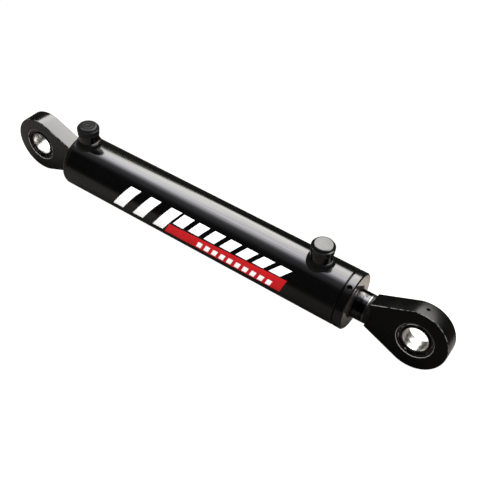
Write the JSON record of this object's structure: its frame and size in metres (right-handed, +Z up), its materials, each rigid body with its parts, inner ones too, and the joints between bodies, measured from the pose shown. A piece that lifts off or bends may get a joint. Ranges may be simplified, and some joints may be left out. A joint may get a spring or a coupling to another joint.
{
  "type": "hydraulic cylinder",
  "caption": "Welded double-acting hydraulic cylinder: black barrel with capped top ports, screwed gland, dark polished rod, and a plate eye with a spherical bearing at each end.",
  "frame": {"origin": "centre of the pin bore in the cap eye's ball", "axes": "+X along the cylinder towards the rod end, +Y along the cap eye's pin, +Z up, the side both ports are on"},
  "size_m": [0.6805, 0.0762, 0.1087],
  "materials": {
    "black_paint": "semi-gloss black enamel with fine orange peel",
    "painted_weld": "rippled weld bead under the same black enamel",
    "nitrided_rod": "nitrided bar, ground and polished almost black",
    "ball_steel": "hardened bearing steel, ground bright",
    "race_steel": "phosphated bearing steel with a satin edge",
    "spring_steel": "blackened spring steel",
    "machined_steel": "turned steel, lightly oiled",
    "zinc_yellow": "yellow passivated zinc",
    "black_plastic": "moulded black polyethylene",
    "nitrile": "matt black nitrile rubber",
    "polyurethane": "satin blue polyurethane",
    "wiper_polyurethane": "satin black polyurethane",
    "seal_ptfe": "filled fluoropolymer",
    "backup_ptfe": "white fluoropolymer",
    "guide_ring": "brown fabric-filled resin"
  },
  "bodies": {
    "barrel": {"barrel_tube": "black_paint", "end_cap": "black_paint", "end_cap_weld": "painted_weld", "cap_eye": "black_paint", "cap_eye_weld": "painted_weld", "cap_eye_race": "race_steel", "cap_eye_circlips": "spring_steel", "port_boss_cap_end": "black_paint", "port_boss_rod_end": "black_paint", "port_weld_cap_end": "painted_weld", "port_weld_rod_end": "painted_weld", "gland": "black_paint", "gland_oring": "nitrile", "gland_backup_ring": "backup_ptfe", "rod_wear_band": "guide_ring", "rod_seal": "polyurethane", "wiper": "wiper_polyurethane"},
    "cap_ball": {"cap_eye_ball": "ball_steel"},
    "dust_cap_a": {"dust_cap_cap_end": "black_plastic"},
    "dust_cap_b": {"dust_cap_rod_end": "black_plastic"},
    "piston_rings": {"piston_seal": "seal_ptfe", "piston_seal_energizer": "nitrile", "piston_guide_ring_rear": "guide_ring", "piston_guide_ring_front": "guide_ring"},
    "rod": {"piston_rod": "nitrided_rod", "piston": "machined_steel", "piston_nut": "zinc_yellow", "piston_oring": "nitrile", "rod_eye": "black_paint", "rod_eye_weld": "painted_weld", "rod_eye_race": "race_steel", "rod_eye_circlips": "spring_steel"},
    "rod_ball": {"rod_eye_ball": "ball_steel"}
  },
  "joints": [
    {"name": "rod_stroke", "type": "slide", "parent": "barrel", "child": "piston_rings", "axis": [1, 0, 0], "range_m": [0, 0.3048]},
    {"name": "rod_turn", "type": "hinge", "parent": "piston_rings", "child": "rod", "pos_m": [0.109, 0, 0], "axis": [1, 0, 0], "continuous": true},
    {"name": "cap_ball_tilt", "type": "hinge", "parent": "barrel", "child": "cap_ball", "pos_m": [0, 0, 0], "axis": [0, 0, 1], "range_deg": [-6, 6]},
    {"name": "rod_ball_tilt", "type": "hinge", "parent": "rod", "child": "rod_ball", "pos_m": [0.5985, 0, 0], "axis": [0, 0.1253, 0.9921], "range_deg": [-6, 6]},
    {"name": "dust_cap_a_pull", "type": "slide", "parent": "barrel", "child": "dust_cap_a", "axis": [0, 0, 1], "range_m": [0, 0.06]},
    {"name": "dust_cap_b_pull", "type": "slide", "parent": "barrel", "child": "dust_cap_b", "axis": [0, 0, 1], "range_m": [0, 0.06]}
  ]
}
